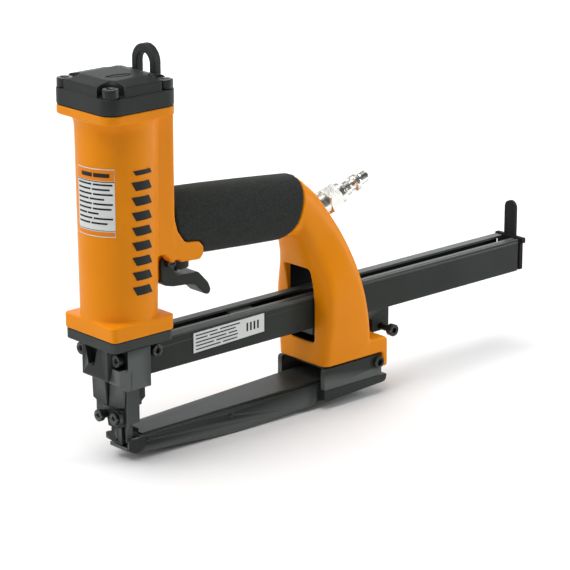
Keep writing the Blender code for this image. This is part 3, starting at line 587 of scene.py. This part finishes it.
# --- trigger --------------------------------------------------------------------------------------
LEVER = [(28.0, 24.5), (31.5, 21.9), (37.7, 20.3), (51.1, 19.1), (56.0, 17.6), (64.3, 9.8), (67.4, 9.6),
         (68.6, 12.6), (66.4, 17.6), (58.5, 26.0), (42.2, 26.6), (38.7, 30.8), (38.4, 38.6), (36.2, 41.2),
         (30.9, 41.2), (28.0, 38.5)]
LEVER_RADII = [2, 2, 0, 0, 4, 2, 2, 3, 0, 2.5, 1.5, 2, 2, 2, 2.5, 2]
trigger = prism("trigger_lever", rounded(LEVER, LEVER_RADII), "Y", -7.9, 7.9)
cut(trigger, block("boss_slot", (20, 42.5), (-5.4, 5.4), (25.5, 60)),
    rod("trigger_pin_way", (PIN_X, -15, PIN_Z), (0, 1, 0), 30, 2.05))
cast(trigger, 0.42, 5)
show(trigger, BLACK, "trigger", "trigger")
PIN = [(0, -11.6), (3.2, -11.6), (3.2, -8.4), (2.0, -8.4), (2.0, 8.4), (2.9, 8.4), (2.9, 9.6), (0, 9.6)]
pin = lathe("trigger_pivot_pin", turned(PIN, 0.3), (PIN_X, 0, PIN_Z), (0, 1, 0), 48)
cut(pin, block("pin_slot", (31.5, 36.1), (-13, -10.9), (36.6, 37.6)))
show(crisp(pin, 0.1), OXIDE, "frame", "trigger_pin")
VALVE = [(2.1, 29.8), (6.8, 29.8), (7.4, 30.4), (7.4, 36.9), (2.1, 36.9)]
valve = lathe("trigger_valve_housing", VALVE, (VALVE_X, 0, 0), (0, 0, 1), 64, ring=True)
show(crisp(valve, 0.3), BLACK, "frame", "trigger_valve_body")

# --- air fitting ----------------------------------------------------------------------------------
BUSHING = [(0, -4), (7.8, -4), (7.8, 12.0), (0, 12.0)]
bushing = lathe("inlet_bushing", turned(BUSHING, 0.3), PLUG_SEAT, PLUG_AXIS)
nut = rod("inlet_hex", PLUG_SEAT, PLUG_AXIS, 10.4, 9.8, 6, low=11.0)
HEX_ROUND = [(0, 10.9), (8.6, 10.9), (9.9, 12.0), (9.9, 20.4), (8.6, 21.5), (0, 21.5)]
boolean(nut, "INTERSECT", lathe("hex_round", HEX_ROUND, PLUG_SEAT, PLUG_AXIS))
join(bushing, nut)
cut(bushing, rod("bushing_way", PLUG_SEAT, PLUG_AXIS, 60, 5.4, low=-30))
show(crisp(bushing, 0.25), NICKEL, "frame", "air_bushing")
PLUG = [(2.3, 20.0), (7.0, 20.0), (7.4, 21.9), (7.4, 25.4), (6.8, 26.2), (5.5, 28.6), (5.1, 29.2),
        (5.1, 33.2), (4.6, 34.0), (3.9, 34.6), (3.9, 37.0), (4.3, 37.6), (5.6, 38.3), (5.85, 38.7),
        (5.85, 41.3), (5.5, 41.8), (4.3, 42.5), (4.0, 43.0), (4.0, 44.4), (4.15, 44.7), (4.15, 50.0),
        (3.6, 50.75), (2.3, 50.75)]
plug = lathe("inlet_plug", PLUG, PLUG_SEAT, PLUG_AXIS, 96, ring=True)
show(crisp(plug, 0.12, 25.0), NICKEL, "frame", "air_plug")

# --- nose -----------------------------------------------------------------------------------------
show(crisp(copy_of("nose_mount_plate", "nose_flange"), 0.4), BLACK, "frame", "nose_mount_plate")
housing = copy_of("nose_housing", "nose_block")
# the blade's way is opened before the bevel: a Boolean on the bevelled mesh takes the whole piece away
cut(housing, block("blade_way", (-2.4, 0.4), (-6.7, 6.7), (-40, 0)))
crisp(housing, 0.2, flat=True)
show(housing, BLACK, "frame", "nose_housing")
# the near pocket's faces get the same near-black material: painted shade in the recess
housing.data.materials.append(PAINTED_SHADE)
for face in housing.data.polygons:
    x, y, z = face.center / MM - DATUM_SHIFT
    if -19.5 < x < -12.9 and -24.4 < y < -12.8 and z > -29.0:
        face.material_index = 1
ridge = block("nose_side_ridge", (-10.6, -9.3), (-24.8, -23.8), (-32.4, -21.5))
show(crisp(ridge, 0.3), BLACK, "frame")
for side, sign in (("left", -1), ("right", 1)):
    cheek = copy_of(f"nose_cheek_{side}", f"front_cheek_{side}")
    show(crisp(cheek, 0.3), BLACK, "frame", f"nose_cheek_{side}")
    i = 1 if side == "left" else 2
    socket_screw(f"nose_bolt_upper_{i}", f"nose_screw_upper_{i}", (-13.3, sign * 17.6, -14.4), (-1, 0, 0),
                 4.2, 4.4, 4.4, 2.4, 1)
for i, (x, y, shank) in enumerate(((-13.6, 2.0, 2.6), (-10.5, -9.4, 1.6)), 1):
    socket_screw(f"nose_bolt_lower_{i}", f"nose_screw_lower_{i}", (x, y, -55.2), (-1, 0, 0),
                 3.9, 3.6, 3.6, shank, 4)
show(crisp(copy_of("driver_guide", "nose_guide"), 0.35), BLACK, "frame", "driver_guide")
show(crisp(copy_of("nose_foot", "foot_plate"), 0.35), BLACK, "frame", "nose_foot")

# --- magazine -------------------------------------------------------------------------------------
MAG_LOW, MAG_HIGH = -31.6, -8.6
SECTION = [(-11.1, MAG_LOW), (11.1, MAG_LOW), (11.1, MAG_HIGH), (4.4, MAG_HIGH), (4.4, -10.2), (9.5, -10.2),
           (9.5, -30.0), (-9.5, -30.0), (-9.5, -10.2), (-4.4, -10.2), (-4.4, -8.9), (-8.2, -8.9),
           (-8.5, -9.8), (-9.1, -9.8), (-9.4, MAG_HIGH), (-11.1, MAG_HIGH), (-11.1, -10.4),
           (-11.35, -10.6), (-11.35, -11.2), (-11.1, -11.4)]
channel = prism("magazine_body", SECTION, "X", 5.4, 350.6)
BOLT_X, BOLT_Z = 18.9, -16.2
cut(channel, *[rod(f"magazine_hole_{sign}", (BOLT_X, sign * 8, BOLT_Z), (0, sign, 0), 6, 2.1)
               for sign in (-1, 1)])
show(crisp(channel, 0.35), BLACK, "frame", "magazine_channel")
show(crisp(copy_of("magazine_end_cap", "magazine_end_plate"), 0.3, 30.0), RUBBER, "magazine_slide",
     "magazine_end_cap")
for i, sign in enumerate((-1, 1), 1):
    socket_screw(f"magazine_bolt_{i}", f"magazine_screw_{i}", (BOLT_X, sign * 11.5, BOLT_Z), (0, sign, 0),
                 4.2, 3.1, 4.0)
show(crisp(copy_of("magazine_hanger", "magazine_hanger_plate"), 0.4), BLACK, "frame", "magazine_hanger")
LATCH = [(0, -19.4), (4.2, -19.4), (4.2, -15.2), (2.2, -15.2), (2.2, 9.5), (0, 9.5)]
LATCH_X, LATCH_Z = 221.2, -46.0
latch = lathe("latch_pin", turned(LATCH, 0.5), (LATCH_X, 0, LATCH_Z), (0, 1, 0), 64)
cut(latch, rod("latch_hex", (LATCH_X, -19.6, LATCH_Z), (0, 1, 0), 2.4, 2.1, 6))
show(crisp(latch, 0.15, 50.0, 2), OXIDE, "frame", "hanger_pin")

# --- clincher arm ---------------------------------------------------------------------------------
show(crisp(copy_of("clincher_arm", "arm_body"), 0.45), BLACK, "clincher", "clincher_arm")
show(crisp(copy_of("pivot_bracket", "arm_bracket"), 0.6), BLACK, "clincher", "pivot_bracket")
for i, (x, z, half) in enumerate(((12.0, -74.5, 13.3), (79.1, -73.9, 15.6)), 1):
    made = lathe(f"arm_rivet_{i}", turned([(0, -half), (2.2, -half), (2.2, half), (0, half)], 0.4), (x, 0, z),
                 (0, 1, 0), 48)
    show(crisp(made, 0.1), OXIDE, "clincher", f"arm_pin_{i}")
HINGE = [(0, -25.6), (4.1, -25.6), (4.1, -23.6), (3.0, -23.6), (3.0, 23.6), (4.0, 23.6), (4.0, 25.6),
         (0, 25.6)]
HINGE_X, HINGE_Z = 202.0, -62.8
bolt = lathe("arm_hinge_bolt", turned(HINGE, 0.35), (HINGE_X, 0, HINGE_Z), (0, 1, 0), 64)
cut(bolt, rod("hinge_hex", (HINGE_X, -25.8, HINGE_Z), (0, 1, 0), 2.2, 2.6, 6))
show(crisp(bolt, 0.15, 50.0, 2), OXIDE, "frame", "arm_pivot_bolt")


# --- labels and the painted mark ------------------------------------------------------------------
def barrel_radius(z):
    return 24.3 + (z - 12.0) * 0.0091


def wrap(name, patches, lift, material, *nodes):
    """Thin sheets on the barrel. Each patch is (from angle, to angle, low z, high z, slant in degrees)."""
    bm = bmesh.new()
    for start, end, low, high, slant in patches:
        columns = max(2, int(abs(end - start) / 1.5))
        rows = []
        for r in range(5):
            t = r / 4
            z = low + (high - low) * t
            radius = (barrel_radius(z) + lift) * MM
            angles = [math.radians(start + slant * t + (end - start) * c / columns)
                      for c in range(columns + 1)]
            centre = place(0, 0, z)
            rows.append([bm.verts.new(centre + Vector((math.cos(a), math.sin(a), 0)) * radius)
                         for a in angles])
        for below, above in zip(rows, rows[1:]):
            for c in range(columns):
                bm.faces.new((below[c], below[c + 1], above[c + 1], above[c]))
    mesh = bpy.data.meshes.new(name)
    bm.to_mesh(mesh)
    bm.free()
    made = bpy.data.objects.new(name, mesh)
    scene.collection.objects.link(made)
    made.data.shade_smooth()
    return show(made, material, "frame", *nodes)


wrap("barrel_label_film", [(165, 229, 65, 108, 0)], 0.25, PAPER, "barrel_label")
wrap("barrel_label_header", [(165.6, 228.4, 100.4, 107.4, 0), (165.6, 228.4, 65.6, 68.4, 0)], 0.29, HEADER)
lines = [(176, 196, 102.6, 105.2, 0), (198, 222, 102.6, 105.2, 0)]
for k in range(9):
    z = 97.4 - 3.05 * k
    end = (226, 222, 226, 214, 226, 224, 205, 226, 218)[k]
    lines += [(168, 168 + (end - 168) * 0.46, z, z + 1.15, 0), (168 + (end - 168) * 0.5, end, z, z + 1.15, 0)]
lines += [(165, 229, 99.6, 100.1, 0), (165, 229, 69.0, 69.3, 0)]
wrap("barrel_label_print", lines, 0.33, INK)
wrap("barrel_stripes", [(259, 289, z, z + 5.6, -7) for z in (27, 36.5, 46, 55.5, 65, 74.5, 84, 93.5)]
     + [(259, 289, 103.2, 106.2, -4)], 0.28, INK)


def flat_patches(name, patches, y, material, *nodes):
    """Thin sheets on the magazine's near side. Each patch is four (x, z) corners."""
    bm = bmesh.new()
    for patch in patches:
        bm.faces.new([bm.verts.new(place(x, y, z)) for x, z in patch])
    mesh = bpy.data.meshes.new(name)
    bm.to_mesh(mesh)
    bm.free()
    made = bpy.data.objects.new(name, mesh)
    scene.collection.objects.link(made)
    return show(made, material, "frame", *nodes)


def on_label(u0, u1, v0, v1):
    """A box on the magazine label, with u from 0 to 1 along it and v from 0 to 1 up it."""
    def at(u, v):
        return (50.0 + 61.0 * u, -26.4 + 14.2 * v + u * (1.8 + (0.9 - 1.8) * v))
    return [at(u0, v0), at(u1, v0), at(u1, v1), at(u0, v1)]


flat_patches("magazine_label_film", [on_label(0, 1, 0, 1)], -11.45, PAPER, "magazine_label")
print_rows = [on_label(0, 1, 0.0, 0.03), on_label(0, 1, 0.97, 1), on_label(0, 0.008, 0, 1),
              on_label(0.992, 1, 0, 1)]
for k, (v, lengths) in enumerate(((0.80, (0.3, 0.28)), (0.64, (0.16, 0.36)), (0.47, (0.42, 0.12)),
                                  (0.31, (0.25, 0.3)), (0.14, (0.34, 0.2)))):
    u = 0.04
    for length in lengths:
        print_rows.append(on_label(u, u + length, v, v + 0.06))
        u += length + 0.03
print_rows += [on_label(0.74 + 0.05 * k, 0.765 + 0.05 * k, 0.3, 0.72) for k in range(4)]
flat_patches("magazine_label_print", print_rows, -11.5, INK)

# --- pieces inside the tool keep their CAD shape --------------------------------------------------
INNER = {
    "cylinder_sleeve": STEEL, "bumper": RUBBER, "piston": STEEL, "piston_ring": RUBBER, "driver_blade": STEEL,
    "head_valve": STEEL, "valve_stem": STEEL, "staple_rail": STEEL, "staple_strip": STEEL, "pusher": OXIDE,
    "pusher_rod": STEEL, "anvil": OXIDE,
}
for node, material in INNER.items():
    mesh = frame["nodes"][node].data
    mesh.materials.clear()
    mesh.materials.append(material)

# --- floor, light and camera ----------------------------------------------------------------------
floor_material, tree, shader = tree_of("pale_floor")
shader.inputs["Roughness"].default_value = 0.8
shader.inputs["Specular IOR Level"].default_value = 0.0
tree.links.new(ramp(tree, noise(tree, 6.0), [(0.3, (0.86, 0.86, 0.86)), (0.7, (0.88, 0.88, 0.88))]),
               shader.inputs["Base Color"])
bm = bmesh.new()
bmesh.ops.create_grid(bm, x_segments=1, y_segments=1, size=6.0)
floor = solid(bm, "floor")
floor.location = (0, 0, -0.0005)
floor.data.materials.append(floor_material)

# the surroundings are lightest above and to the left of the camera's view, and darkest to its right
world = bpy.data.worlds.new("studio")
scene.world = world
world.use_nodes = True
tree = world.node_tree
facing = tree.nodes.new("ShaderNodeVectorMath")
facing.operation = "DOT_PRODUCT"
facing.inputs[1].default_value = Vector((-0.55, 0.6, 0.58)).normalized()
tree.links.new(tree.nodes.new("ShaderNodeTexCoord").outputs["Generated"], facing.inputs[0])
tree.links.new(ramp(tree, facing.outputs["Value"], [(0.1, (0.07,)), (0.8, (0.6,))]),
               tree.nodes["Background"].inputs["Color"])
scene.view_settings.view_transform = "Standard"


def lamp(name, kind, where, aim, strength, size):
    """A soft light at where, aimed at a point; size is a sun's angle in degrees or a box's sides."""
    light = bpy.data.lights.new(name, kind)
    light.energy = strength
    if kind == "SUN":
        light.angle = math.radians(size)
    else:
        light.shape = "RECTANGLE"
        light.size, light.size_y = size
    obj = bpy.data.objects.new(name, light)
    obj.location = where
    obj.rotation_euler = (Vector(aim) - Vector(where)).to_track_quat("-Z", "Y").to_euler()
    scene.collection.objects.link(obj)


MIDDLE = (-0.02, 0.0, 0.1)
lamp("top_light", "SUN", (-0.35, 0.1, 1.5), MIDDLE, 2.5, 50.0)
lamp("left_box", "AREA", (-1.1, 0.75, 0.5), MIDDLE, 2.2, (0.5, 1.0))
lamp("right_box", "AREA", (1.1, -0.75, 0.5), MIDDLE, 10.0, (0.35, 0.9))
lamp("back_box", "AREA", (0.9, 1.1, 0.4), MIDDLE, 7.0, (1.8, 0.6))

azimuth, elevation, distance = math.radians(-42.01), math.radians(17.115), 1.7478
target = Vector((-0.0252, 0.0, 0.08475))
away = Vector((math.sin(azimuth) * math.cos(elevation), -math.cos(azimuth) * math.cos(elevation),
               math.sin(elevation)))
camera = bpy.data.objects.new("camera", bpy.data.cameras.new("camera"))
camera.location = target + away * distance
camera.rotation_euler = (-away).to_track_quat("-Z", "Y").to_euler()
camera.data.sensor_width = 36.0
camera.data.lens = 167.9
scene.collection.objects.link(camera)
scene.camera = camera

bpy.context.view_layer.update()
